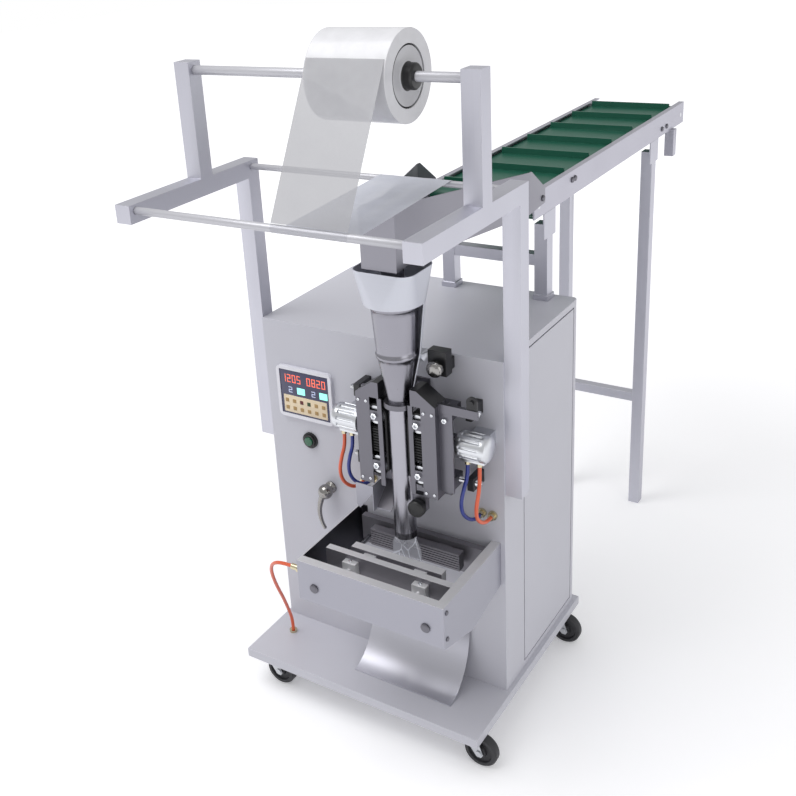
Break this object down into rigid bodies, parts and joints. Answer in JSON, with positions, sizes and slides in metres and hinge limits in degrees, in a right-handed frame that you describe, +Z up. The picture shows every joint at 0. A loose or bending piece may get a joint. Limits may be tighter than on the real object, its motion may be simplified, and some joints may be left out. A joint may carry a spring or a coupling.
{
  "type": "liquid pouch packing machine",
  "caption": "Free-standing form, fill and seal machine on castors: film reel stand, forming shoulder and tube, pull belts, sealing jaws, chute and cleated feed conveyor.",
  "frame": {"origin": "middle of the whole machine's footprint, on the floor", "axes": "+X to the right as one faces the control panel, +Y from the control panel towards the feed conveyor, +Z up"},
  "size_m": [0.652, 1.628, 1.526],
  "materials": {
    "cabinet_paint": "satin powder coat",
    "polished_stainless": "polished stainless sheet",
    "brushed_stainless": "brushed stainless tube",
    "chrome": "bright chrome",
    "bright_aluminium": "machined",
    "black_anodised": "black anodised",
    "dark_cast_paint": "painted casting",
    "panel_bezel": "moulded bezel with a navy window",
    "black_plastic": "moulded",
    "green_button": "glossy cap",
    "brass_fittings": "nickelled brass push-in fittings",
    "blue_hose": "polyurethane air hose",
    "orange_hose": "polyurethane air hose",
    "black_rubber": "ribbed pull belt",
    "castor_tread": "moulded wheel",
    "zinc_plate": "zinc plated",
    "green_belt": "dark green polyvinyl belt",
    "film": "silver packing film"
  },
  "bodies": {
    "root": {"base_platform": "cabinet_paint", "cabinet_shell": "cabinet_paint", "pull_gearmotor": "dark_cast_paint", "jaw_cylinders": "black_anodised", "control_panel": "panel_bezel", "button_housing": "black_plastic", "jaw_box": "polished_stainless", "guide_rods": "chrome", "round_bolts": "chrome", "air_fittings": "brass_fittings", "jaw_hose": "orange_hose", "forming_tube": "polished_stainless", "feed_funnel": "polished_stainless", "forming_shoulder": "polished_stainless", "tube_brackets": "polished_stainless", "left_cylinder": "bright_aluminium", "right_cylinder": "bright_aluminium", "left_blue_hose": "blue_hose", "right_blue_hose": "blue_hose", "left_orange_hose": "orange_hose", "right_orange_hose": "orange_hose", "left_stand_frame": "brushed_stainless", "right_stand_frame": "brushed_stainless", "film_web": "film", "feed_trough": "polished_stainless", "conveyor_frame": "polished_stainless", "conveyor_belt": "green_belt", "conveyor_front_stand": "brushed_stainless", "conveyor_rear_stand": "brushed_stainless", "discharge_chute": "polished_stainless"},
    "side_door": {"side_door": "cabinet_paint"},
    "push_button": {"push_button": "green_button"},
    "lever": {"lever_handle": "chrome"},
    "front_jaw": {"front_seal_jaw": "polished_stainless"},
    "rear_jaw": {"rear_seal_jaw": "polished_stainless"},
    "clamp_knob": {"clamp_knob": "chrome"},
    "tension_knob": {"tension_knob": "black_plastic"},
    "reel": {"film_roll": "film", "core_chucks": "black_plastic", "reel_spindle": "chrome"},
    "front_roller": {"front_guide_roller": "chrome"},
    "rear_roller": {"rear_guide_roller": "chrome"},
    "drive_roller": {"conveyor_drive_roller": "bright_aluminium"},
    "tail_roller": {"conveyor_tail_roller": "bright_aluminium"},
    "left_carriage": {"left_pull_frame": "polished_stainless", "left_pull_belt": "black_rubber"},
    "left_drive": {"left_drive_pulley": "bright_aluminium"},
    "left_idler": {"left_idler_pulley": "bright_aluminium"},
    "right_carriage": {"right_pull_frame": "polished_stainless", "right_pull_belt": "black_rubber"},
    "right_drive": {"right_drive_pulley": "bright_aluminium"},
    "right_idler": {"right_idler_pulley": "bright_aluminium"},
    "fork_left_front": {"castor_fork_left_front": "zinc_plate"},
    "wheel_left_front": {"castor_wheel_left_front": "castor_tread"},
    "fork_left_rear": {"castor_fork_left_rear": "zinc_plate"},
    "wheel_left_rear": {"castor_wheel_left_rear": "castor_tread"},
    "fork_right_front": {"castor_fork_right_front": "zinc_plate"},
    "wheel_right_front": {"castor_wheel_right_front": "castor_tread"},
    "fork_right_rear": {"castor_fork_right_rear": "zinc_plate"},
    "wheel_right_rear": {"castor_wheel_right_rear": "castor_tread"}
  },
  "joints": [
    {"name": "door_hinge", "type": "hinge", "parent": "root", "child": "side_door", "pos_m": [0.283, -0.1135, 0.49], "axis": [0, 0, 1], "range_deg": [0, 110]},
    {"name": "button_press", "type": "slide", "parent": "root", "child": "push_button", "axis": [0, 1, 0], "range_m": [0, 0.004], "stiffness_N_per_m": 600},
    {"name": "lever_turn", "type": "hinge", "parent": "root", "child": "lever", "pos_m": [-0.137, -0.486, 0.497], "axis": [0, 1, 0], "range_deg": [0, 90]},
    {"name": "front_jaw_slide", "type": "slide", "parent": "root", "child": "front_jaw", "axis": [0, 1, 0], "range_m": [0, 0.027]},
    {"name": "rear_jaw_slide", "type": "slide", "parent": "root", "child": "rear_jaw", "axis": [0, 1, 0], "range_m": [-0.027, 0]},
    {"name": "clamp_knob_turn", "type": "hinge", "parent": "root", "child": "clamp_knob", "pos_m": [0.174, -0.511, 0.874], "axis": [0, 1, 0], "continuous": true},
    {"name": "reel_spin", "type": "hinge", "parent": "root", "child": "reel", "pos_m": [0, -0.589, 1.446], "axis": [1, 0, 0], "continuous": true},
    {"name": "front_roller_spin", "type": "hinge", "parent": "root", "child": "front_roller", "pos_m": [0, -0.796, 1.222], "axis": [1, 0, 0], "continuous": true},
    {"name": "rear_roller_spin", "type": "hinge", "parent": "root", "child": "rear_roller", "pos_m": [0, -0.443, 1.222], "axis": [1, 0, 0], "continuous": true},
    {"name": "drive_roller_spin", "type": "hinge", "parent": "root", "child": "drive_roller", "pos_m": [0.11, 0.789, 1.11], "axis": [1, 0, 0], "continuous": true},
    {"name": "tail_roller_spin", "type": "hinge", "parent": "root", "child": "tail_roller", "pos_m": [0.11, -0.169, 1.11], "axis": [1, 0, 0], "continuous": true},
    {"name": "left_pull_slide", "type": "slide", "parent": "root", "child": "left_carriage", "axis": [-1, 0, 0], "range_m": [0, 0.008]},
    {"name": "left_drive_spin", "type": "hinge", "parent": "left_carriage", "child": "left_drive", "pos_m": [0.0624, -0.553, 0.66], "axis": [0, 1, 0], "continuous": true},
    {"name": "left_idler_spin", "type": "hinge", "parent": "left_carriage", "child": "left_idler", "pos_m": [0.0624, -0.553, 0.772], "axis": [0, 1, 0], "continuous": true},
    {"name": "right_pull_slide", "type": "slide", "parent": "root", "child": "right_carriage", "axis": [1, 0, 0], "range_m": [0, 0.008]},
    {"name": "right_drive_spin", "type": "hinge", "parent": "right_carriage", "child": "right_drive", "pos_m": [0.1576, -0.553, 0.66], "axis": [0, 1, 0], "continuous": true},
    {"name": "right_idler_spin", "type": "hinge", "parent": "right_carriage", "child": "right_idler", "pos_m": [0.1576, -0.553, 0.772], "axis": [0, 1, 0], "continuous": true},
    {"name": "tension_knob_turn", "type": "hinge", "parent": "right_carriage", "child": "tension_knob", "pos_m": [0.157, -0.571, 0.592], "axis": [0, 1, 0], "continuous": true},
    {"name": "swivel_left_front", "type": "hinge", "parent": "root", "child": "fork_left_front", "pos_m": [-0.262, -0.581, 0.09], "axis": [0, 0, 1], "continuous": true},
    {"name": "wheel_spin_left_front", "type": "hinge", "parent": "fork_left_front", "child": "wheel_left_front", "pos_m": [-0.236, -0.581, 0.0375], "axis": [0, 1, 0], "continuous": true},
    {"name": "swivel_left_rear", "type": "hinge", "parent": "root", "child": "fork_left_rear", "pos_m": [-0.262, -0.121, 0.09], "axis": [0, 0, 1], "continuous": true},
    {"name": "wheel_spin_left_rear", "type": "hinge", "parent": "fork_left_rear", "child": "wheel_left_rear", "pos_m": [-0.236, -0.121, 0.0375], "axis": [0, 1, 0], "continuous": true},
    {"name": "swivel_right_front", "type": "hinge", "parent": "root", "child": "fork_right_front", "pos_m": [0.262, -0.581, 0.09], "axis": [0, 0, 1], "continuous": true},
    {"name": "wheel_spin_right_front", "type": "hinge", "parent": "fork_right_front", "child": "wheel_right_front", "pos_m": [0.288, -0.581, 0.0375], "axis": [0, 1, 0], "continuous": true},
    {"name": "swivel_right_rear", "type": "hinge", "parent": "root", "child": "fork_right_rear", "pos_m": [0.262, -0.121, 0.09], "axis": [0, 0, 1], "continuous": true},
    {"name": "wheel_spin_right_rear", "type": "hinge", "parent": "fork_right_rear", "child": "wheel_right_rear", "pos_m": [0.288, -0.121, 0.0375], "axis": [0, 1, 0], "continuous": true}
  ],
  "couplings": [
    {"joint": "rear_jaw_slide", "follows": "front_jaw_slide", "ratio": -1},
    {"joint": "tail_roller_spin", "follows": "drive_roller_spin", "ratio": 1},
    {"joint": "left_pull_slide", "follows": "right_pull_slide", "ratio": 1},
    {"joint": "right_idler_spin", "follows": "right_drive_spin", "ratio": 1},
    {"joint": "left_drive_spin", "follows": "right_drive_spin", "ratio": -1},
    {"joint": "left_idler_spin", "follows": "right_drive_spin", "ratio": -1}
  ]
}
